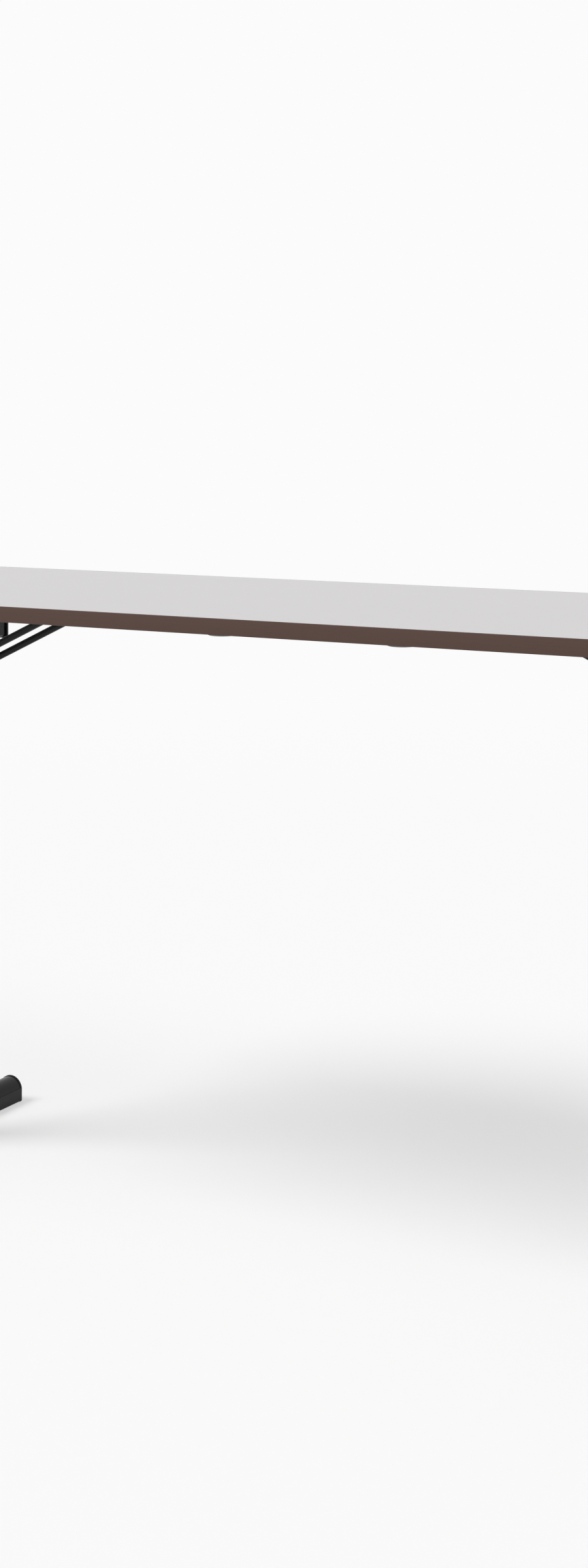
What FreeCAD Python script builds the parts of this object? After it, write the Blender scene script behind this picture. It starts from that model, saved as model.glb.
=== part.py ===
import FreeCAD, Part
import math
import os

from FreeCAD import Vector

# Folding training table, modelled open and standing on the floor, in millimetres.
# The origin is on the floor under the middle of the worktop; +X runs along the worktop, +Z is up.
# Each end has a T leg that turns in two brackets under the worktop and folds in towards the middle.
# A bent steel rod stays the leg: its lower ends turn in the column, its cross-part snaps into a catch.

# Worktop
top_length = 1400.0
top_width = 500.0
top_thickness = 18.0
table_height = 730.0
laminate_thickness = 0.8
band_thickness = 2.0
corner_radius = 8.0
band_arris = 0.6

# Place of each leg, and of the axle that it turns on
leg_inset = 132.0
pivot_drop = 50.0

# Cross tube at the head of the leg
tube_side = 35.0
tube_wall = 2.0
tube_corner = 3.0
tube_length = 300.0

# Column
column_width = 60.0
column_depth = 30.0
column_wall = 2.0
column_corner = 4.0

# Foot beam with flat sides and a round crown, and its end caps
foot_length = 380.0
foot_width = 35.0
foot_side_height = 18.0
foot_crown = 14.2
foot_ledge = 0.6
foot_wall = 2.0
foot_corner = 1.5
cap_thickness = 3.2
cap_proud = 0.8
cap_groove = 0.6
cap_rim = 0.6
plug_depth = 15.0
plug_wall = 2.0

# Pivot brackets, folded from steel sheet
bracket_sheet = 3.0
bracket_width = 40.0
bracket_drop = 70.0
bracket_flange = 32.0
bracket_bend = 2.0
bracket_corner = 3.0

# Pivot bolts, their washers and the threaded plugs in the tube ends
bolt_radius = 4.0
bolt_head_radius = 8.0
bolt_head_height = 4.5
bolt_head_chamfer = 2.4
bolt_socket = 5.0
socket_sides = 6
bolt_socket_depth = 2.5
bolt_grip = 13.0
washer_radius = 9.0
washer_thickness = 1.0
tube_plug_length = 16.0

# Brace rod
rod_radius = 4.5
brace_spread = 78.0
brace_reach = 225.0
brace_drop = 107.0
brace_bend = 12.0
pintle_bend = 6.0
pintle_length = 9.0

# Bushes that carry the brace in the column
bush_radius = 6.5
bush_flange_radius = 8.5
bush_flange = 2.6
bush_depth = 5.0

# Catch saddle and its leaf spring
catch_drop = 15.0
saddle_sheet = 2.0
saddle_width = 40.0
saddle_depth = 27.0
saddle_front = 9.0
saddle_back = 13.0
saddle_tongue = 44.0
saddle_bend = 1.5
saddle_corner = 3.0
exit_angle = 25.0
exit_flare = 7.0
spring_sheet = 1.2
spring_width = 28.0
spring_anchor_near = 52.0
spring_anchor_far = 76.0
spring_nose_low = 5.0
spring_nose_high = 5.0
spring_bend = 2.0

# Wood screws
screw_radius = 2.2
screw_length = 14.0
screw_head_radius = 4.5
screw_head_height = 2.6
screw_head_chamfer = 1.2
screw_pitch = 22.0
catch_screw_pitch = 16.0
head_sides = 12
shank_sides = 8

# Rubber buffers under the worktop, one for each folded column
buffer_radius = 22.0
buffer_height = 30.0
buffer_chamfer = 5.0
buffer_taper = 2.0
buffer_recess = 5.5
buffer_floor = 7.0
buffer_offset = 120.0

# Clearances
running_fit = 0.05
seat_gap = 0.3
side_gap = 0.1
hole_gap = 0.3
tip_gap = 0.5
overrun = 5.0

# Derived levels and places, for the leg at the +X end; the other end is its mirror image
underside = table_height - top_thickness
leg_x = top_length / 2 - leg_inset
pivot_z = underside - pivot_drop
foot_lift = cap_proud
crown_z = foot_lift + foot_side_height + foot_crown
catch_x = leg_x - brace_reach
catch_z = underside - catch_drop
brace_z = catch_z - brace_drop
cheek_inner = tube_length / 2 + washer_thickness + 2 * side_gap
cheek_outer = cheek_inner + bracket_sheet
beam_half = foot_length / 2 - cap_thickness - cap_groove
origin = Vector(0, 0, 0)
x_axis = Vector(1, 0, 0)
y_axis = Vector(0, 1, 0)
z_axis = Vector(0, 0, 1)


def rounded_edges(points, radii, closed):
    """Edges of a path through the points, each corner turned by a tangent arc of its own radius."""
    count = len(points)
    starts = []
    edges = []
    corners = range(count) if closed else range(1, count - 1)
    turned = {}
    for i in corners:
        corner = points[i]
        if radii[i] == 0:
            continue
        back = (points[i - 1] - corner).normalize()
        ahead = (points[(i + 1) % count] - corner).normalize()
        half_angle = back.getAngle(ahead) / 2
        trim = radii[i] / math.tan(half_angle)
        reach = radii[i] / math.sin(half_angle) - radii[i]
        middle = corner + (back + ahead).normalize() * reach
        turned[i] = (corner + back * trim, middle, corner + ahead * trim)
    for i in range(count):
        entry = turned[i][0] if i in turned else points[i]
        leave = turned[i][2] if i in turned else points[i]
        starts.append((entry, leave))
    last = count if closed else count - 1
    for i in range(last):
        if i in turned:
            edges.append(Part.Arc(*turned[i]).toShape())
        begin = starts[i][1]
        end = starts[(i + 1) % count][0]
        edges.append(Part.LineSegment(begin, end).toShape())
    return edges


def outline(points, radii):
    """Flat face inside a closed path with rounded corners."""
    return Part.Face(Part.Wire(rounded_edges(points, radii, True)))


def plate(width, depth, corner, low, high):
    """Upright plate centred on Z, with rounded corners, from one level to another."""
    a = width / 2
    b = depth / 2
    points = [Vector(a, b, low), Vector(-a, b, low), Vector(-a, -b, low), Vector(a, -b, low)]
    return outline(points, [corner] * len(points)).extrude(z_axis * (high - low))


def bar_along_y(width, height, corner, length):
    """Bar of rounded section, centred on the origin and lying along Y."""
    bar = plate(width, height, corner, -length / 2, length / 2)
    bar.rotate(origin, x_axis, 90)
    return bar


def turning(points, radii):
    """Solid turned about Z from points in the XZ plane."""
    return outline(points, radii).revolve(origin, z_axis, 360)


def set_down(shape, place, direction):
    """Copy of a shape with its Z turned to a direction and its origin moved to a place."""
    copy = shape.copy()
    copy.Placement = FreeCAD.Placement(place, FreeCAD.Rotation(z_axis, direction))
    return copy


def drill(place, direction, radius, length):
    """Cylinder from a place along a direction."""
    return Part.makeCylinder(radius, length, place, direction)


def prism(sides, radius, low, high):
    """Upright regular prism about Z between two levels, its flats at the radius."""
    corner = radius / math.cos(math.pi / sides)
    points = []
    for k in range(sides + 1):
        angle = math.tau * k / sides
        points.append(Vector(corner * math.cos(angle), corner * math.sin(angle), low))
    return Part.Face(Part.makePolygon(points)).extrude(z_axis * (high - low))


def chamfered_head(sides, radius, chamfer, height):
    """Screw or bolt head on the origin, its outer rim chamfered."""
    head = prism(sides, radius, 0, height)
    rim = [edge for edge in head.Edges if edge.BoundBox.ZMin > height - chamfer]
    return head.makeChamfer(chamfer, rim)


def swept(section, points, radii):
    """Section carried along an open path with rounded corners."""
    path = Part.Wire(rounded_edges(points, radii, False))
    return path.makePipeShell([section], True, False)


def both_ends(shape):
    """A shape and its mirror image across the table's long middle plane."""
    return [shape, shape.mirror(origin, y_axis)]


def screw():
    """Pan-head wood screw, its head below the origin and its point up along Z."""
    head = chamfered_head(head_sides, screw_head_radius, screw_head_chamfer, screw_head_height)
    head.rotate(origin, x_axis, 180)
    return head.fuse(prism(shank_sides, screw_radius, 0, screw_length))


def bracket_screw_places():
    """Screw seats on the flanges of one leg's two pivot brackets."""
    y = cheek_inner + (bracket_flange + bracket_sheet + bracket_bend) / 2
    level = underside - bracket_sheet
    return [
        Vector(leg_x + sx * screw_pitch / 2, sy * y, level) for sx in (-1, 1) for sy in (-1, 1)
    ]


def catch_screw_places():
    """Screw seats of one catch: two on the saddle's tongue, two on the spring."""
    saddle_x = catch_x + (saddle_back + saddle_tongue) / 2
    spring_x = catch_x - (spring_anchor_near + spring_anchor_far) / 2
    places = []
    for sy in (-1, 1):
        y = sy * catch_screw_pitch / 2
        places.append(Vector(saddle_x, y, underside - saddle_sheet))
        places.append(Vector(spring_x, y, underside - spring_sheet))
    return places


def buffer_places():
    """Middles of the two buffers, on the underside."""
    return [Vector(sx * buffer_offset, 0, underside) for sx in (-1, 1)]


def buffer_screw_places():
    """Screw seats at the bottom of the buffers' recesses."""
    return [place - z_axis * buffer_floor for place in buffer_places()]


def mirrored(place):
    """Place mirrored to the other end of the table."""
    return Vector(-place.x, place.y, place.z)


def all_screw_places():
    """Every screw seat on the table."""
    one_end = bracket_screw_places() + catch_screw_places()
    return one_end + [mirrored(place) for place in one_end] + buffer_screw_places()


def pilot_holes():
    """Holes that all screws leave in the worktop."""
    hole = prism(shank_sides, screw_radius + running_fit, 0, screw_length + tip_gap)
    return Part.makeCompound([set_down(hole, place, z_axis) for place in all_screw_places()])


def worktop_layer(low, high):
    """One layer of the worktop inside the edge band, with the screws' pilot holes."""
    length = top_length - 2 * band_thickness
    width = top_width - 2 * band_thickness
    layer = plate(length, width, corner_radius - band_thickness, low, high)
    return layer.cut(pilot_holes())


def edge_band():
    """Edge band round the worktop, its outer arrises broken."""
    outer = plate(top_length, top_width, corner_radius, underside, table_height)
    rims = []
    for edge in outer.Edges:
        middle = edge.valueAt((edge.FirstParameter + edge.LastParameter) / 2)
        if min(middle.z - underside, table_height - middle.z) < running_fit:
            rims.append(edge)
    outer = outer.makeChamfer(band_arris, rims)
    length = top_length - 2 * band_thickness
    width = top_width - 2 * band_thickness
    corner = corner_radius - band_thickness
    inner = plate(length, width, corner, underside - overrun, table_height + overrun)
    return outer.cut(inner)


def rubber_buffers():
    """Two round buffers, each with a deep recess for its screw."""
    foot_radius = buffer_radius - buffer_taper
    shoulder = buffer_height - buffer_chamfer
    points = [
        Vector(0, 0, 0),
        Vector(buffer_radius, 0, 0),
        Vector(foot_radius, 0, shoulder),
        Vector(foot_radius - buffer_chamfer, 0, buffer_height),
        Vector(buffer_recess, 0, buffer_height),
        Vector(buffer_recess, 0, buffer_floor),
        Vector(0, 0, buffer_floor),
    ]
    shape = turning(points, [0] * len(points))
    hole = prism(shank_sides, screw_radius + hole_gap, -overrun, buffer_floor + overrun)
    shape = shape.cut(hole)
    return [set_down(shape, place, -z_axis) for place in buffer_places()]


def screw_holes(places):
    """Clearance holes for the screws at the places."""
    hole = prism(shank_sides, screw_radius + hole_gap, -overrun, overrun)
    return Part.makeCompound([set_down(hole, place, z_axis) for place in places])


def pivot_brackets():
    """Two folded sheet brackets: a cheek for the pivot bolt and a flange screwed to the worktop."""
    low = underside - bracket_drop
    left = leg_x - bracket_width / 2
    end = cheek_inner + bracket_flange + bracket_sheet
    points = [
        Vector(left, cheek_inner, low),
        Vector(left, cheek_inner, underside),
        Vector(left, end, underside),
        Vector(left, end, underside - bracket_sheet),
        Vector(left, cheek_outer, underside - bracket_sheet),
        Vector(left, cheek_outer, low),
    ]
    radii = [0, bracket_bend + bracket_sheet, 0, 0, bracket_bend, 0]
    bracket = outline(points, radii).extrude(x_axis * bracket_width)
    reach = bracket_drop + overrun
    front = plate(bracket_width, 2 * reach, bracket_corner, 0, end + overrun)
    front.rotate(origin, x_axis, -90)
    front.translate(Vector(leg_x, 0, low + reach))
    above = plate(bracket_width, 2 * end, bracket_corner, low, underside)
    above.translate(x_axis * leg_x)
    bracket = bracket.common(front).common(above)
    bore = drill(Vector(leg_x, 0, pivot_z), y_axis, bolt_radius + running_fit, end)
    bracket = bracket.cut(bore)
    return both_ends(bracket.cut(screw_holes(bracket_screw_places())))


def cross_tube():
    """Square tube at the head of the leg."""
    tube = bar_along_y(tube_side, tube_side, tube_corner, tube_length)
    side = tube_side - 2 * tube_wall
    hollow = bar_along_y(side, side, tube_corner - tube_wall, tube_length + overrun)
    tube = tube.cut(hollow)
    tube.translate(Vector(leg_x, 0, pivot_z))
    return tube


def tube_plugs():
    """Threaded steel plugs set flush in the ends of the cross tube."""
    side = tube_side - 2 * tube_wall
    plug = bar_along_y(side, side, tube_corner - tube_wall, tube_plug_length)
    plug.translate(Vector(leg_x, (tube_length - tube_plug_length) / 2, pivot_z))
    bore = drill(Vector(leg_x, 0, pivot_z), y_axis, bolt_radius + running_fit, tube_length)
    return both_ends(plug.cut(bore))


def pivot_washers():
    """Nylon washers between the tube ends and the cheeks."""
    place = Vector(leg_x, tube_length / 2 + side_gap, pivot_z)
    ring = drill(place, y_axis, washer_radius, washer_thickness)
    return both_ends(ring.cut(drill(place, y_axis, bolt_radius + running_fit, washer_thickness)))


def pivot_bolts():
    """Button-head bolts, screwed into the tube plugs through the cheeks."""
    shank = cheek_outer + side_gap - (tube_length / 2 - bolt_grip)
    bolt = chamfered_head(head_sides, bolt_head_radius, bolt_head_chamfer, bolt_head_height)
    bolt = bolt.fuse(drill(origin, -z_axis, bolt_radius, shank))
    socket_floor = bolt_head_height - bolt_socket_depth
    bolt = bolt.cut(prism(socket_sides, bolt_socket / 2, socket_floor, bolt_head_height + overrun))
    return both_ends(set_down(bolt, Vector(leg_x, cheek_outer + side_gap, pivot_z), y_axis))


def foot_section(half, low, high, ledge, corner):
    """Flat-sided section with a round crown, at the middle plane."""
    crease = foot_lift + foot_side_height
    points = [
        Vector(half, 0, crease),
        Vector(half, 0, low),
        Vector(-half, 0, low),
        Vector(-half, 0, crease),
    ]
    edges = rounded_edges(points, [0, corner, corner, 0], False)
    left = Vector(ledge - half, 0, crease)
    right = Vector(half - ledge, 0, crease)
    if ledge:
        edges.append(Part.LineSegment(points[3], left).toShape())
    edges.append(Part.Arc(left, Vector(0, 0, high), right).toShape())
    if ledge:
        edges.append(Part.LineSegment(right, points[0]).toShape())
    return Part.Face(Part.Wire(edges))


def foot_bar(inset, start, length):
    """Bar of the foot beam's section along Y, every side moved in by the inset."""
    half = foot_width / 2 - inset
    corner = max(foot_corner - inset, 0)
    section = foot_section(half, foot_lift + inset, crown_z - inset, foot_ledge, corner)
    section.translate(Vector(leg_x, start, 0))
    return section.extrude(y_axis * length)


def foot_beam():
    """Hollow foot beam between its end caps."""
    beam = foot_bar(0, -beam_half, 2 * beam_half)
    hollow = foot_bar(foot_wall, -beam_half - overrun, 2 * (beam_half + overrun))
    return beam.cut(hollow)


def cap_section(inset, start):
    """Section of an end cap, flush with the beam's sides and proud of its crown."""
    half = foot_width / 2 - inset
    low = foot_lift - cap_proud + inset
    corner = foot_corner + cap_proud - inset
    section = foot_section(half, low, crown_z + cap_proud - inset, 0, corner)
    section.translate(Vector(leg_x, start, 0))
    return section


def foot_caps():
    """Plastic end caps with a chamfered rim, a groove behind the crown and a hollow plug."""
    start = beam_half + cap_groove
    shoulder = start + cap_thickness - cap_rim
    section = cap_section(0, start)
    face = section.extrude(y_axis * (shoulder - start))
    rims = [cap_section(0, shoulder).OuterWire, cap_section(cap_rim, shoulder + cap_rim).OuterWire]
    below = plate(2 * foot_width, foot_length, 0, foot_lift - cap_proud, foot_lift + foot_side_height)
    below.translate(Vector(leg_x, start, 0))
    skirt = section.extrude(-y_axis * cap_groove).common(below)
    inset = foot_wall + side_gap
    plug = foot_bar(inset, start - plug_depth, plug_depth)
    hollow = foot_bar(inset + plug_wall, start - plug_depth - overrun, plug_depth + overrun)
    return both_ends(face.fuse([Part.makeLoft(rims, True, True), skirt, plug.cut(hollow)]))


def column():
    """Upright of the leg, butted to the cross tube and coped over the foot's crown."""
    low = foot_lift + foot_side_height
    high = pivot_z - tube_side / 2
    outer = plate(column_depth, column_width, column_corner, low, high)
    width = column_width - 2 * column_wall
    depth = column_depth - 2 * column_wall
    inner = plate(depth, width, column_corner - column_wall, low - overrun, high + overrun)
    shape = outer.cut(inner)
    shape.translate(x_axis * leg_x)
    shape = shape.cut(foot_bar(0, -foot_length / 2, foot_length))
    start = Vector(leg_x, -column_width, brace_z)
    shape = shape.cut(drill(start, y_axis, bush_radius, 2 * column_width))
    return max(shape.Solids, key=lambda solid: solid.Volume)


def brace_bushes():
    """Flanged nylon bushes in the sides of the column."""
    side = column_width / 2
    inner = rod_radius + running_fit
    points = [
        Vector(inner, 0, -bush_depth),
        Vector(bush_radius, 0, -bush_depth),
        Vector(bush_radius, 0, 0),
        Vector(bush_flange_radius, 0, 0),
        Vector(bush_flange_radius, 0, bush_flange),
        Vector(inner, 0, bush_flange),
    ]
    bush = turning(points, [0] * len(points))
    return both_ends(set_down(bush, Vector(leg_x, side, brace_z), y_axis))


def brace():
    """Brace bent from one steel rod: two arms, a cross-part, and pintles turned in at the ends."""
    arm = brace_spread / 2
    tip = arm - pintle_bend - pintle_length
    points = [
        Vector(leg_x, tip, brace_z),
        Vector(leg_x, arm, brace_z),
        Vector(catch_x, arm, catch_z),
        Vector(catch_x, -arm, catch_z),
        Vector(leg_x, -arm, brace_z),
        Vector(leg_x, -tip, brace_z),
    ]
    radii = [0, pintle_bend, brace_bend, brace_bend, pintle_bend, 0]
    section = Part.Wire(Part.makeCircle(rod_radius, points[0], y_axis))
    return swept(section, points, radii)


def catch_saddle():
    """Folded sheet saddle that carries the brace's cross-part in two slanted notches."""
    half = saddle_width / 2
    low = underside - saddle_depth
    front = catch_x - saddle_front
    back = catch_x + saddle_back
    end = catch_x + saddle_tongue
    inner = half - saddle_sheet
    floor = underside - saddle_sheet
    sides = [
        Vector(front, half, low),
        Vector(front, half, underside),
        Vector(front, -half, underside),
        Vector(front, -half, low),
        Vector(front, -inner, low),
        Vector(front, -inner, floor),
        Vector(front, inner, floor),
        Vector(front, inner, low),
    ]
    wide = saddle_bend + saddle_sheet
    radii = [0, wide, wide, 0, 0, saddle_bend, saddle_bend, 0]
    channel = outline(sides, radii).extrude(x_axis * (end - front))
    profile = [
        Vector(front, -half, underside),
        Vector(front, -half, low),
        Vector(back, -half, low),
        Vector(back, -half, floor),
        Vector(end, -half, floor),
        Vector(end, -half, underside),
    ]
    corners = [0, saddle_corner, saddle_corner, 0, 0, 0]
    saddle = channel.common(outline(profile, corners).extrude(y_axis * saddle_width))
    saddle = saddle.cut(catch_notch())
    return saddle.cut(screw_holes(catch_screw_places()))


def catch_notch():
    """Slanted notch, flared along the way that the cross-part leaves."""
    seat = rod_radius + seat_gap
    half = saddle_width / 2 + overrun
    angle = math.radians(exit_angle)
    along = Vector(-math.cos(angle), 0, -math.sin(angle))
    across = Vector(math.sin(angle), 0, -math.cos(angle))
    reach = saddle_depth + overrun
    flare = reach * math.tan(math.radians(exit_flare))
    middle = Vector(catch_x, -half, catch_z)
    points = [
        middle + across * seat,
        middle + along * reach + across * (seat + flare),
        middle + along * reach - across * (seat + flare),
        middle - across * seat,
    ]
    slot = outline(points, [0] * len(points)).extrude(y_axis * (2 * half))
    return slot.fuse(drill(middle, y_axis, seat, 2 * half))


def catch_spring():
    """Leaf spring: screwed down at one end, its turned-up nose holds the cross-part in the notch."""
    level = underside - spring_sheet / 2
    nose_x = catch_x - rod_radius - seat_gap - spring_sheet / 2
    points = [
        Vector(catch_x - spring_anchor_far, 0, level),
        Vector(catch_x - spring_anchor_near, 0, level),
        Vector(nose_x, 0, catch_z - spring_nose_low),
        Vector(nose_x, 0, catch_z + spring_nose_high),
    ]
    start = points[0]
    a = spring_width / 2
    b = spring_sheet / 2
    section = Part.makePolygon([
        start + Vector(0, a, b),
        start + Vector(0, -a, b),
        start + Vector(0, -a, -b),
        start + Vector(0, a, -b),
        start + Vector(0, a, b),
    ])
    spring = swept(section, points, [0, spring_bend, spring_bend, 0])
    return spring.cut(screw_holes(catch_screw_places()))


def screws(places):
    """One screw at each place, pointing up into the worktop."""
    shape = screw()
    return [set_down(shape, place, z_axis) for place in places]


def save(name, solids):
    """Write one node from its solids."""
    shape = solids[0] if len(solids) == 1 else Part.makeCompound(solids)
    shape.exportStep("parts/" + name + ".step")


def main():
    os.makedirs("parts", exist_ok=True)
    core_low = underside + laminate_thickness
    core_high = table_height - laminate_thickness
    save("core_board", [worktop_layer(core_low, core_high)])
    save("top_laminate", [worktop_layer(core_high, table_height)])
    save("backing_laminate", [worktop_layer(underside, core_low)])
    save("edge_band", [edge_band()])
    save("rubber_buffers", rubber_buffers())
    save("buffer_screws", screws(buffer_screw_places()))
    one_end = {
        "pivot_brackets": pivot_brackets(),
        "bracket_screws": screws(bracket_screw_places()),
        "catch_saddle": [catch_saddle()],
        "catch_spring": [catch_spring()],
        "catch_screws": screws(catch_screw_places()),
        "cross_tube": [cross_tube()],
        "tube_plugs": tube_plugs(),
        "pivot_washers": pivot_washers(),
        "pivot_bolts": pivot_bolts(),
        "column": [column()],
        "foot_beam": [foot_beam()],
        "foot_caps": foot_caps(),
        "brace_bushes": brace_bushes(),
        "brace": [brace()],
    }
    for name, solids in one_end.items():
        save("right_" + name, solids)
        save("left_" + name, [solid.mirror(origin, x_axis) for solid in solids])


main()
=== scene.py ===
import math

import bmesh
import bpy
from mathutils import Matrix, Vector


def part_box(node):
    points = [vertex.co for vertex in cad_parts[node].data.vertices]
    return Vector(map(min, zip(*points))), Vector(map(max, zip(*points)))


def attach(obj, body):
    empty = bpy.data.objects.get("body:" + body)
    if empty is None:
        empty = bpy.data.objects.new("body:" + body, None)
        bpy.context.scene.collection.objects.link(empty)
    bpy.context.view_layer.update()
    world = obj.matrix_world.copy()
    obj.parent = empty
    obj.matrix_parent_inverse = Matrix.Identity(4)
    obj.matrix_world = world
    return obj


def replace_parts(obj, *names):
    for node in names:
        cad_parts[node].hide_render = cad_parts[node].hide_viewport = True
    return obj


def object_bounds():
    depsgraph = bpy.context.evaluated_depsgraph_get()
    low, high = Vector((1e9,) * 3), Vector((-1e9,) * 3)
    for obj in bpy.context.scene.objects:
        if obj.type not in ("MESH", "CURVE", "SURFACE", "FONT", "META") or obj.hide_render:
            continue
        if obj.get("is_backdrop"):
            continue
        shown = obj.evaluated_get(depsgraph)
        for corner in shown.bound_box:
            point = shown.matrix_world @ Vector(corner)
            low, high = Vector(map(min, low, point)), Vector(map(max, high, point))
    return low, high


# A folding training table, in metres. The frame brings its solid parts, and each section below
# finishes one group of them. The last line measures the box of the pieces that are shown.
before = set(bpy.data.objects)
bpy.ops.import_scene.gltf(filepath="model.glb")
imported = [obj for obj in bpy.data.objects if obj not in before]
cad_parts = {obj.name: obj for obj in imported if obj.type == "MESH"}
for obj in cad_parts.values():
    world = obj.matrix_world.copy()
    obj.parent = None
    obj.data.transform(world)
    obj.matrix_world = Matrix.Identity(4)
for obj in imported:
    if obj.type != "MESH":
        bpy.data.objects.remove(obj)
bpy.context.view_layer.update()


# The worktop's core is particle board, pressed from glued chips. It is sawn to size before it is
# laminated and banded, so it only shows in the screws' pilot holes. Every finish below is opened by
# new_finish, and Value lets shader sums be written as plain expressions.
class Value:
    """A shader socket that takes part in sums: value * 2 + 1 adds the Math nodes."""

    def __init__(self, tree, socket):
        self.tree = tree
        self.socket = socket

    def node(self, kind, settings, sockets, output=0):
        """Adds a node of a kind: its settings first, then its sockets' values or links."""
        made = self.tree.nodes.new("ShaderNode" + kind)
        for name, setting in settings.items():
            setattr(made, name, setting)
        for name, value in sockets.items():
            if isinstance(value, Value):
                self.tree.links.new(value.socket, made.inputs[name])
            else:
                made.inputs[name].default_value = value
        return Value(self.tree, made.outputs[output])

    def feed(self, shader, name):
        """Links this value to a socket of a shader."""
        self.tree.links.new(self.socket, shader.inputs[name])

    def maths(self, operation, other):
        """This value and another, or a number, joined by a Math node."""
        return self.node("Math", {"operation": operation}, {0: self, 1: other})

    def __add__(self, other):
        return self.maths("ADD", other)

    def __mul__(self, other):
        return self.maths("MULTIPLY", other)

    __radd__ = __add__
    __rmul__ = __mul__

    def noise(self, size, detail=2.0):
        """Soft noise at this place, whose blotches are about a size across."""
        return self.node("TexNoise", {}, {"Vector": self, "Scale": 1 / size, "Detail": detail})

    def stretched(self, x, y, z):
        """This place with each axis divided by a length, for grain that runs along an axis."""
        scale = {"Vector": self, "Scale": (1 / x, 1 / y, 1 / z)}
        return self.node("Mapping", {"vector_type": "POINT"}, scale)

    def between(self, low, high):
        """This value, from 0 to 1, carried to a range between two numbers."""
        return self * (high - low) + low

    def above(self, start, end):
        """0 while this value is under the start, 1 past the end, and a straight rise between."""
        rise = {"Value": self, "From Min": start, "From Max": end}
        return self.node("MapRange", {"clamp": True}, rise)

    def blend(self, first, second):
        """Colour from the first to the second as this value goes from 0 to 1."""
        # A Mix node takes its factor at socket 0 and its colours at 6 and 7, and gives colour at 2.
        return self.node("Mix", {"data_type": "RGBA"}, {0: self, 6: first, 7: second}, output=2)

    def bump(self, depth):
        """Surface normal with this value as a height, in metres when it is 1."""
        return self.node("Bump", {}, {"Height": self, "Strength": 1.0, "Distance": depth})


def colour(red, green, blue):
    """Linear colour, with full alpha, of an 8-bit screen colour."""
    shades = []
    for level in (red, green, blue):
        share = level / 255
        shades.append(share / 12.92 if share <= 0.04045 else ((share + 0.055) / 1.055) ** 2.4)
    return (*shades, 1.0)


def new_finish(name, roughness, metallic=0.0, specular=0.5):
    """A new material: itself, its shader, and the place on the piece as a Value."""
    material = bpy.data.materials.new(name)
    material.use_nodes = True
    tree = material.node_tree
    shader = tree.nodes["Principled BSDF"]
    shader.inputs["Roughness"].default_value = roughness
    shader.inputs["Metallic"].default_value = metallic
    shader.inputs["Specular IOR Level"].default_value = specular
    place = Value(tree, None).node("TexCoord", {}, {}, "Object")
    return material, shader, place


def dress(material, *names):
    """Gives the named nodes of the frame a finish."""
    for name in names:
        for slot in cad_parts[name].material_slots:
            slot.material = material


chip_size = 0.0022
chip_relief = 0.0001
chip_pale = colour(206, 178, 138)
chip_dark = colour(138, 104, 68)

board, shader, place = new_finish("particle_board", roughness=0.85)
chips = place.node("TexVoronoi", {}, {"Vector": place, "Scale": 1 / chip_size}, "Color")
chip_tone = chips.node("SeparateColor", {}, {"Color": chips})
chip_tone.blend(chip_dark, chip_pale).feed(shader, "Base Color")
chip_tone.bump(chip_relief).feed(shader, "Normal")
dress(board, "core_board")


# The worktop's face is a thin laminate in light grey, pressed with a fine matt grain that scatters
# the light. A faint cloudiness in its tone and gloss comes from the paper under the resin.
laminate_grey = colour(208, 206, 207)
laminate_shade = colour(204, 202, 202)
laminate_cloud = 0.09
cloud_roughness = (-0.03, 0.03)
laminate_grain = 0.0006
grain_roughness = (0.46, 0.58)
grain_relief = 0.00003

laminate, shader, place = new_finish("grey_laminate", roughness=0.5, specular=0.35)
cloud = place.noise(laminate_cloud, detail=3.0)
cloud.blend(laminate_shade, laminate_grey).feed(shader, "Base Color")
grain = place.noise(laminate_grain)
(cloud.between(*cloud_roughness) + grain.between(*grain_roughness)).feed(shader, "Roughness")
grain.bump(grain_relief).feed(shader, "Normal")
dress(laminate, "top_laminate")


# The underside has a balancing laminate, so that the board stays flat. It is plain, a little
# darker and coarser than the face, and a few dull scuffs cross it where tables were stacked.
backing_grey = colour(190, 188, 186)
backing_scuff = colour(182, 180, 178)
scuff_length = 0.06
scuff_width = 0.008
scuff_edge = (0.6, 0.8)
backing_grain = 0.0012
backing_relief = 0.00004

backing, shader, place = new_finish("backing_laminate", roughness=0.6)
scratches = place.stretched(scuff_length, scuff_width, scuff_length).noise(1.0, detail=5.0)
scratches.above(*scuff_edge).blend(backing_grey, backing_scuff).feed(shader, "Base Color")
place.noise(backing_grain).bump(backing_relief).feed(shader, "Normal")
dress(backing, "backing_laminate")


# The edge band is a 2 mm strip of brown plastic, glued on hot and trimmed flush, with its arrises
# rounded over by a cutter. The die leaves faint drag lines along the strip, which vary its gloss.
band_thickness = 0.002
band_corner = 0.008
band_corner_steps = 8
band_arris = 0.0006
band_arris_steps = 4
band_brown = colour(87, 67, 60)
band_deep = colour(82, 62, 56)
drag_length = 0.12
drag_width = 0.0009
drag_roughness = (0.36, 0.5)
drag_relief = 0.00003
crease = math.radians(35)


def new_piece(name, shape, material, body):
    """An object of a finished shape, smooth but for its creases, that rides on a body."""
    bmesh.ops.recalc_face_normals(shape, faces=shape.faces)
    mesh = bpy.data.meshes.new(name)
    shape.to_mesh(mesh)
    shape.free()
    mesh.materials.append(material)
    mesh.shade_smooth()
    mesh.set_sharp_from_angle(angle=crease)
    piece = bpy.data.objects.new(name, mesh)
    bpy.context.scene.collection.objects.link(piece)
    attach(piece, body)
    return piece


def block(low, high):
    """A new shape: the box between two corners."""
    shape = bmesh.new()
    size = Matrix.Diagonal((*(high - low), 1.0))
    bmesh.ops.create_cube(shape, size=1.0, matrix=Matrix.Translation((low + high) / 2) @ size)
    return shape


def uprights(shape):
    """The edges of a shape that stand upright."""
    return [edge for edge in shape.edges if edge.verts[0].co.xy == edge.verts[1].co.xy]


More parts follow.
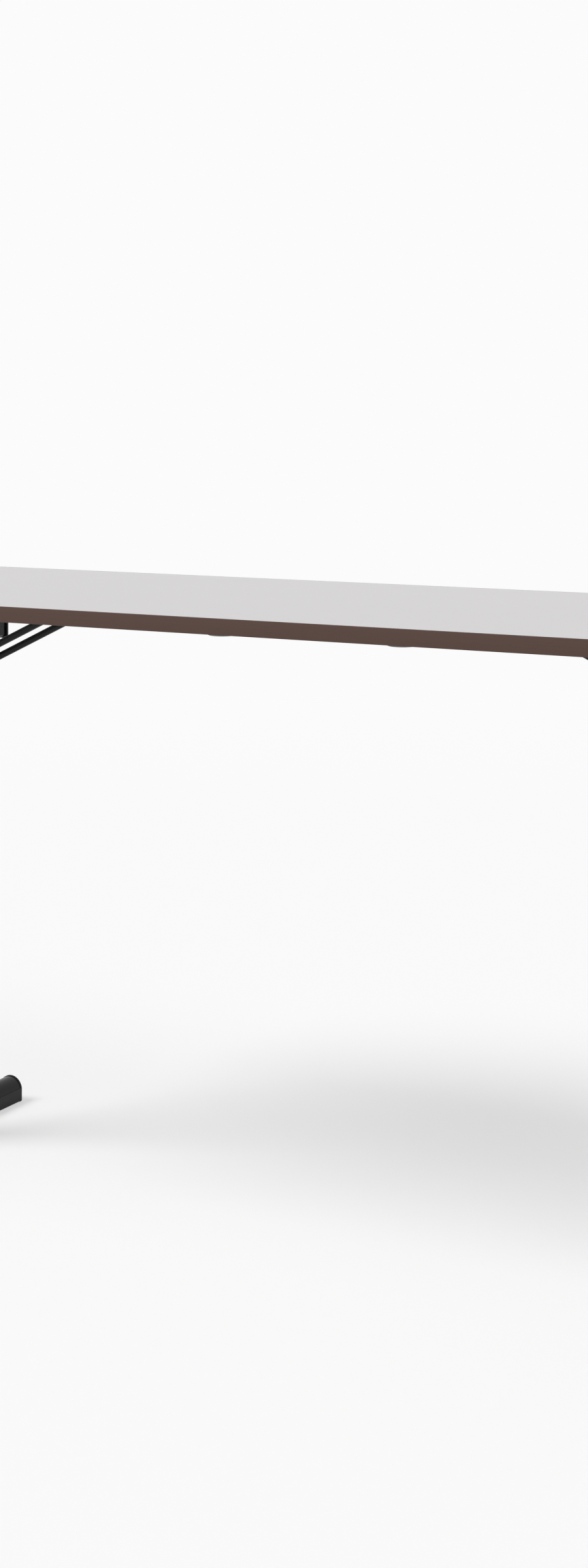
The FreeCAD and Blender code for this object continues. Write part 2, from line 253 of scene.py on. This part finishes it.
def round_over(shape, edges, radius, segments):
    """Rounds the edges of a shape."""
    bmesh.ops.bevel(shape, geom=edges, offset=radius, offset_type="OFFSET", segments=segments,
                    profile=0.5, affect="EDGES", material=-1)


band, shader, place = new_finish("brown_edge_band", roughness=0.45, specular=0.2)
drag = place.stretched(drag_length, drag_length, drag_width).noise(1.0, detail=3.0)
drag.blend(band_deep, band_brown).feed(shader, "Base Color")
drag.between(*drag_roughness).feed(shader, "Roughness")
drag.bump(drag_relief).feed(shader, "Normal")

strip = block(*(Vector(corner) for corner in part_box("edge_band")))
round_over(strip, uprights(strip), band_corner, band_corner_steps)
rims = [edge for edge in strip.edges if edge.verts[0].co.z == edge.verts[1].co.z]
round_over(strip, rims, band_arris, band_arris_steps)
# The two broadest faces open to the board, and a wall between their rims closes the strip.
covers = sorted(strip.faces, key=lambda face: face.calc_area())[-2:]
bmesh.ops.inset_region(strip, faces=covers, thickness=band_thickness - band_arris,
                       use_even_offset=True)
bmesh.ops.delete(strip, geom=covers, context="FACES_ONLY")
bmesh.ops.bridge_loops(strip, edges=[edge for edge in strip.edges if edge.is_boundary])
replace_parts(new_piece("rounded_edge_band", strip, band, "table_top"), "edge_band")


# The frame is welded from steel tube and powder-coated in satin black. The coat has the fine
# orange peel that baking leaves, with a slow drift in its gloss. Brackets, saddles and braces are
# coated with it.
ends = ("left", "right")
coat_black = colour(13, 13, 14)
coat_lift = colour(18, 18, 19)
coat_drift = 0.05
coat_roughness = (0.21, 0.29)
peel_size = 0.0016
peel_relief = 0.00004

coat, shader, place = new_finish("black_powder_coat", roughness=0.25, specular=0.2)
drift = place.noise(coat_drift, detail=3.0)
drift.blend(coat_black, coat_lift).feed(shader, "Base Color")
drift.between(*coat_roughness).feed(shader, "Roughness")
place.noise(peel_size).bump(peel_relief).feed(shader, "Normal")
for end in ends:
    for name in ("pivot_brackets", "catch_saddle", "cross_tube", "column", "foot_beam", "brace"):
        dress(coat, f"{end}_{name}")


# Wood screws hold the brackets, the catches and the buffers. Each is rolled from wire: a domed pan
# head with a cross recess, and a coarse thread that runs to its point. They and the threaded plugs
# in the cross tubes are zinc-plated, bright under a slightly milky film.
head_radius = 0.0045
head_height = 0.0026
head_wall_share = 0.45
head_dome_steps = 5
head_steps = 24
plain_head_sides = 12
shank_length = 0.014
shank_radius = 0.0015
point_length = 0.004
thread_radius = 0.0021
thread_pitch = 0.0018
thread_half_share = 0.3
thread_sink = 0.00015
thread_start = 0.0042
thread_turns = 4
thread_steps = 14
recess_span = 0.0046
recess_width = 0.0011
recess_depth = 0.0016
recess_floor_shares = (0.45, 0.8, 1.0)
first_turn = 1.1
further_turn = 2.3
zinc_grey = colour(168, 170, 172)
zinc_bright = colour(200, 201, 198)
zinc_film = 0.004
zinc_roughness = (0.28, 0.45)

zinc, shader, place = new_finish("zinc_plate", roughness=0.35, metallic=1.0)
film = place.noise(zinc_film, detail=4.0)
film.blend(zinc_grey, zinc_bright).feed(shader, "Base Color")
film.between(*zinc_roughness).feed(shader, "Roughness")
for end in ends:
    dress(zinc, f"{end}_tube_plugs")


def dome(radius, height, wall_share, sweep, steps):
    """Outline of a domed head, from its crown out to the wall that is a share of its height."""
    outline = [(0.0, height)]
    for step in range(1, steps + 1):
        angle = sweep * step / steps
        rise = (math.cos(angle) - math.cos(sweep)) / (1 - math.cos(sweep))
        outline.append((radius * math.sin(angle) / math.sin(sweep),
                        height * (wall_share + (1 - wall_share) * rise)))
    return outline


def turned(outline, steps):
    """A new shape turned about Z from an outline of radii and heights, which ends on the axis."""
    shape = bmesh.new()
    corners = [shape.verts.new((radius, 0.0, height)) for radius, height in outline]
    sides = [shape.edges.new(pair) for pair in zip(corners, corners[1:])]
    bmesh.ops.spin(shape, geom=corners + sides, axis=(0, 0, 1), angle=math.tau, steps=steps,
                   use_merge=True)
    bmesh.ops.remove_doubles(shape, verts=shape.verts, dist=1e-7)
    bmesh.ops.recalc_face_normals(shape, faces=shape.faces)
    return shape


def carved(body, cutter):
    """The shape that is left of a body when a cutter is taken out of it."""
    made = []
    for shape in (body, cutter):
        mesh = bpy.data.meshes.new("blank")
        shape.to_mesh(mesh)
        shape.free()
        blank = bpy.data.objects.new("blank", mesh)
        bpy.context.scene.collection.objects.link(blank)
        made.append(blank)
    cut = made[0].modifiers.new("recess", "BOOLEAN")
    cut.object = made[1]
    result = bmesh.new()
    result.from_object(made[0], bpy.context.evaluated_depsgraph_get())
    # A mesh that is removed takes the object that shows it along.
    for blank in made:
        bpy.data.meshes.remove(blank.data)
    return result


def add_thread(shape):
    """Adds the thread's ridge, whose root is sunk into the shank, to a screw that points up."""
    root = shank_radius - thread_sink
    half = thread_half_share * thread_pitch
    corners = []
    for radius, height in ((root, -half), (thread_radius, 0.0), (root, half)):
        corners.append(shape.verts.new((radius, 0.0, thread_start + height)))
    ridge = shape.faces.new(corners)
    bmesh.ops.spin(shape, geom=[ridge, *ridge.edges, *corners], axis=(0, 0, 1),
                   dvec=(0, 0, thread_pitch / thread_steps), angle=math.tau * thread_turns,
                   steps=thread_steps * thread_turns)


def add_copy(shape, part, turn):
    """Adds a copy of a part, turned and placed by a matrix, to a shape."""
    mesh = bpy.data.meshes.new("copy")
    part.to_mesh(mesh)
    mesh.transform(turn)
    shape.from_mesh(mesh)
    bpy.data.meshes.remove(mesh)


# The screw is turned with its head down. The two wings of the cross recess taper to their floor.
shaft = [(head_radius, 0.0), (shank_radius, 0.0), (shank_radius, shank_length - point_length),
         (0.0, shank_length)]
head = dome(head_radius, -head_height, head_wall_share, math.pi / 2, head_dome_steps)
screw = turned(head + shaft, head_steps)
for turn in (0, math.pi / 2):
    wing = block(Vector((-recess_span / 2, -recess_width / 2, -2 * head_height)),
                 Vector((recess_span / 2, recess_width / 2, recess_depth - head_height)))
    recess_floor = [vert for vert in wing.verts if vert.co.z > -head_height]
    bmesh.ops.scale(wing, vec=recess_floor_shares, verts=recess_floor)
    bmesh.ops.rotate(wing, matrix=Matrix.Rotation(turn, 3, "Z"), verts=wing.verts)
    screw = carved(screw, wing)
add_thread(screw)


def screw_in(node, seats):
    """Puts a screw in each seat, stopped at its own turn, in place of a node's plain screws."""
    group = bmesh.new()
    for number, seat in enumerate(seats):
        turn = Matrix.Rotation(first_turn + further_turn * number, 4, "Z")
        add_copy(group, screw, Matrix.Translation(seat) @ turn)
    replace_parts(new_piece(f"{node}_recessed", group, zinc, "table_top"), node)


def head_middles(node):
    """The two x and the two y at which the middles of a node's plain heads lie."""
    low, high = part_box(node)
    reach = head_radius / math.cos(math.pi / plain_head_sides)
    return (low[0] + reach, high[0] - reach), (low[1] + reach, high[1] - reach)


for end in ends:
    node = f"{end}_bracket_screws"
    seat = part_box(node)[0][2] + head_height
    across, along = head_middles(node)
    screw_in(node, [(x, y, seat) for x in across for y in along])


# The cross tube turns on a button-head bolt at each end, with a hexagon socket, black-oxided and
# screwed into the tube's plug. A nylon washer keeps each tube end off its bracket.
bolt_radius = 0.008
bolt_height = 0.0045
bolt_wall_share = 0.14
bolt_sweep = math.radians(72)
bolt_dome_steps = 6
bolt_steps = 32
bolt_shank = 0.004
bolt_chamfer = 0.0004
bolt_grip = 0.013
socket_across = 0.005
socket_radius = socket_across / math.sqrt(3)
socket_depth = 0.0025
socket_floor = bolt_height - socket_depth
socket_mouth = 2 * bolt_height
oxide_black = colour(52, 52, 54)
oxide_worn = colour(70, 69, 68)
oxide_patch = 0.003

oxide, shader, place = new_finish("black_oxide", roughness=0.4, metallic=1.0)
place.noise(oxide_patch, detail=3.0).blend(oxide_black, oxide_worn).feed(shader, "Base Color")

for end in ends:
    name = f"{end}_pivot_bolts"
    low, high = (Vector(corner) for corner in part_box(name))
    cheek_seat = high.y - bolt_height
    tube_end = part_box(f"{end}_cross_tube")[1][1]
    length = cheek_seat - tube_end + bolt_grip
    head = dome(bolt_radius, bolt_height, bolt_wall_share, bolt_sweep, bolt_dome_steps)
    shaft = [(bolt_radius, 0.0), (bolt_shank, 0.0), (bolt_shank, bolt_chamfer - length),
             (bolt_shank - bolt_chamfer, -length), (0.0, -length)]
    socket = bmesh.new()
    bmesh.ops.create_cone(socket, cap_ends=True, segments=6, depth=socket_mouth - socket_floor,
                          radius1=socket_radius, radius2=socket_radius,
                          matrix=Matrix.Translation((0, 0, (socket_mouth + socket_floor) / 2)))
    bolt = carved(turned(head + shaft, bolt_steps), socket)
    middle = (low + high) / 2
    pair = bmesh.new()
    for side in (-1, 1):
        seat = Matrix.Translation((middle.x, side * cheek_seat, middle.z))
        outwards = Matrix.Rotation(-side * math.pi / 2, 4, "X")
        add_copy(pair, bolt, seat @ outwards)
    bolt.free()
    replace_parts(new_piece(f"{name}_domed", pair, oxide, f"{end}_leg"), name)


# The pivots' washers and the braces' bushes are moulded in black nylon, and the foot's end caps in
# polyethylene. Spark-eroded moulds give them an even, fine matt grain.
plastic_black = colour(18, 18, 19)
plastic_lift = colour(23, 23, 24)
plastic_cloud = 0.02
mould_grain = 0.0005
mould_roughness = (0.42, 0.55)
mould_relief = 0.00003

moulded, shader, place = new_finish("moulded_black_plastic", roughness=0.5, specular=0.25)
place.noise(plastic_cloud).blend(plastic_black, plastic_lift).feed(shader, "Base Color")
grain = place.noise(mould_grain)
grain.between(*mould_roughness).feed(shader, "Roughness")
grain.bump(mould_relief).feed(shader, "Normal")
for end in ends:
    dress(moulded, f"{end}_foot_caps", f"{end}_pivot_washers", f"{end}_brace_bushes")


# The column is welded to the cross tube above and, coped over its crown, to the foot below. Each
# weld is a bead laid round the joint, coated with the frame, in which every drop still shows.
drop_radius = 0.0019
drop_step = 0.0013
column_corner = 0.004
column_corner_steps = 4
crown_width = 0.0338
crown_rise = 0.0142
crown_radius = (crown_width ** 2 / 4 + crown_rise ** 2) / (2 * crown_rise)


def weld(name, end, height_at):
    """A bead round a column's outline, each drop at the height of its place across the column."""
    low, high = (Vector(corner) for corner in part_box(f"{end}_column"))
    middle = (low + high) / 2
    outline = block(low, high)
    round_over(outline, uprights(outline), column_corner, column_corner_steps)
    bead = bmesh.new()
    for edge in outline.edges:
        begin, finish = (vert.co.copy() for vert in edge.verts)
        if max(begin.z, finish.z) < middle.z:
            count = max(1, round((finish - begin).length / drop_step))
            for number in range(count):
                drop = begin.lerp(finish, number / count)
                drop.z = height_at(drop.x - middle.x)
                bmesh.ops.create_icosphere(bead, subdivisions=2, radius=drop_radius,
                                           matrix=Matrix.Translation(drop))
    outline.free()
    new_piece(name, bead, coat, f"{end}_leg")


for end in ends:
    tube_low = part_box(f"{end}_cross_tube")[0][2]
    crown_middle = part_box(f"{end}_foot_beam")[1][2] - crown_radius
    weld(f"{end}_head_weld", end, lambda x: tube_low)
    weld(f"{end}_foot_weld", end, lambda x: crown_middle + math.sqrt(crown_radius ** 2 - x ** 2))


# The brace's catch is a leaf of blued spring strip, rolled along its length, beside the saddle
# that takes the brace. Two screws hold the saddle and two the leaf, and their seats differ by the
# thickness of the steel under them.
blued_dark = colour(74, 78, 88)
blued_pale = colour(104, 106, 112)
rolling_length = 0.05
rolling_width = 0.0004
rolling_roughness = (0.28, 0.42)

blued, shader, place = new_finish("blued_spring_steel", roughness=0.35, metallic=1.0)
rolled = place.stretched(rolling_length, rolling_width, rolling_width).noise(1.0)
rolled.blend(blued_dark, blued_pale).feed(shader, "Base Color")
rolled.between(*rolling_roughness).feed(shader, "Roughness")
for end in ends:
    dress(blued, f"{end}_catch_spring")
    node = f"{end}_catch_screws"
    low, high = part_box(node)
    across, along = head_middles(node)
    outer, inner = sorted(across, key=abs, reverse=True)
    seats = []
    for y in along:
        seats.append((outer, y, low[2] + head_height))
        seats.append((inner, y, high[2] - shank_length))
    screw_in(node, seats)


# Two grey rubber buffers take the folded columns. Each is moulded, with a slight taper, a well
# rounded foot and a deep recess for its screw, and its skin is dull and slightly dusty.
buffer_steps = 48
buffer_taper = 0.002
buffer_round = 0.005
buffer_round_steps = 6
buffer_recess = 0.0055
buffer_floor = 0.007
rubber_grey = colour(84, 81, 78)
rubber_dust = colour(98, 95, 92)
dust_size = 0.012
dust_roughness = (0.5, 0.75)
rubber_grain = 0.0009
rubber_relief = 0.00005

rubber, shader, place = new_finish("grey_rubber", roughness=0.6, specular=0.4)
dust = place.noise(dust_size, detail=4.0)
dust.blend(rubber_grey, rubber_dust).feed(shader, "Base Color")
dust.between(*dust_roughness).feed(shader, "Roughness")
place.noise(rubber_grain).bump(rubber_relief).feed(shader, "Normal")

low, high = (Vector(corner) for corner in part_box("rubber_buffers"))
height = high.z - low.z
radius = (high.y - low.y) / 2
buffer = turned([(0.0, 0.0), (radius, 0.0), (radius - buffer_taper, -height),
                 (buffer_recess, -height), (buffer_recess, -buffer_floor), (0.0, -buffer_floor)],
                buffer_steps)
foot_rim = []
for edge in buffer.edges:
    first, second = (vert.co for vert in edge.verts)
    lowest = max(first.z, second.z) < buffer_round / 2 - height
    outermost = min(first.xy.length, second.xy.length) > buffer_recess + buffer_round
    if lowest and outermost:
        foot_rim.append(edge)
round_over(buffer, foot_rim, buffer_round, buffer_round_steps)
both = bmesh.new()
for x in (low.x + radius, high.x - radius):
    add_copy(both, buffer, Matrix.Translation((x, 0.0, high.z)))
buffer.free()
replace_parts(new_piece("rounded_buffers", both, rubber, "table_top"), "rubber_buffers")

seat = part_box("buffer_screws")[0][2] + head_height
across, along = head_middles("buffer_screws")
screw_in("buffer_screws", [(x, 0.0, seat) for x in across])
screw.free()


# The studio: a pale floor and a backdrop of the same tone, which the floor fades into with
# distance. The floor keeps the table's soft shadow, lightened as a printed catalogue shows it.
# Only the camera, gloss and glass see the backdrop's tone: the lamps and a low sky give the light.
floor_radius = 30.0
floor_sides = 64
floor_tone = colour(250, 250, 250)
backdrop = colour(251, 251, 251)
shadow_share = 0.48
fade_near = 2.4
fade_far = 4.5
sky_strength = 0.43


def shown_to(tree):
    """1 for rays from the camera, from gloss and through glass, 0 for rays that carry light."""
    rays = Value(tree, None)
    seen = rays.node("LightPath", {}, {}, "Is Camera Ray")
    glossy = rays.node("LightPath", {}, {}, "Is Glossy Ray")
    clear = rays.node("LightPath", {}, {}, "Is Transmission Ray")
    return seen.maths("MAXIMUM", glossy).maths("MAXIMUM", clear)


disc = bmesh.new()
bmesh.ops.create_circle(disc, cap_ends=True, segments=floor_sides, radius=floor_radius)
mesh = bpy.data.meshes.new("floor")
disc.to_mesh(mesh)
disc.free()
floor = bpy.data.objects.new("floor", mesh)
bpy.context.scene.collection.objects.link(floor)
floor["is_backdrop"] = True

paint, shader, place = new_finish("floor_paint", roughness=0.9, specular=0.0)
shader.inputs["Base Color"].default_value = floor_tone
out_from_middle = place.node("VectorMath", {"operation": "LENGTH"}, {0: place}, "Value")
fade_ends = {"Value": out_from_middle, "From Min": fade_near, "From Max": fade_far}
fade = place.node("MapRange", {"interpolation_type": "SMOOTHSTEP"}, fade_ends)
glow_share = shown_to(paint.node_tree) * fade.between(1 - shadow_share, 1)
lit = Value(paint.node_tree, shader.outputs[0])
glow = place.node("Emission", {}, {"Color": backdrop, "Strength": 1.0})
mixed = place.node("MixShader", {}, {0: glow_share, 1: lit, 2: glow})
mixed.feed(paint.node_tree.nodes["Material Output"], "Surface")
mesh.materials.append(paint)

world = bpy.data.worlds.new("studio")
bpy.context.scene.world = world
world.use_nodes = True
sky = world.node_tree.nodes["Background"]
sky.inputs["Color"].default_value = backdrop
shown_to(world.node_tree).between(sky_strength, 1.0).feed(sky, "Strength")


# Two soft lamps hang high in front of the table: the main one to its left, a weaker one to its
# right. Each has its lean sideways and forwards for each metre up, its level and its spread in
# degrees.
soft_lamps = ((-0.65, -0.60, 0.46, 26), (0.49, -0.40, 0.11, 30))
for number, (sideways, forwards, level, spread) in enumerate(soft_lamps, 1):
    towards = Vector((sideways, forwards, 1.0))
    data = bpy.data.lights.new(f"soft_lamp_{number}", "SUN")
    data.angle = math.radians(spread)
    data.energy = math.pi * level * towards.length
    lamp = bpy.data.objects.new(data.name, data)
    lamp.rotation_euler = towards.to_track_quat("Z", "Y").to_euler()
    bpy.context.scene.collection.objects.link(lamp)


# The camera stands level in front of the table's right half, a little above the worktop. Its
# focal length and shift are in pixels of the photograph.
photo_height = 2400
photo_middle_x = 450
focal_pixels = 3356.0
vanishing_x = 388
horizon_y = 618.2
view_turn = math.radians(29.478)
camera_place = Vector((1.2137, -2.2833, 0.9609))

data = bpy.data.cameras.new("camera")
data.lens = focal_pixels / photo_height * data.sensor_width
data.shift_x = (photo_middle_x - vanishing_x) / photo_height
data.shift_y = (horizon_y - photo_height / 2) / photo_height
camera = bpy.data.objects.new("camera", data)
camera.location = camera_place
camera.rotation_euler = (math.pi / 2, 0, view_turn)
bpy.context.scene.collection.objects.link(camera)
bpy.context.scene.camera = camera
bpy.context.scene.view_settings.view_transform = "Standard"

low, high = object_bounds()
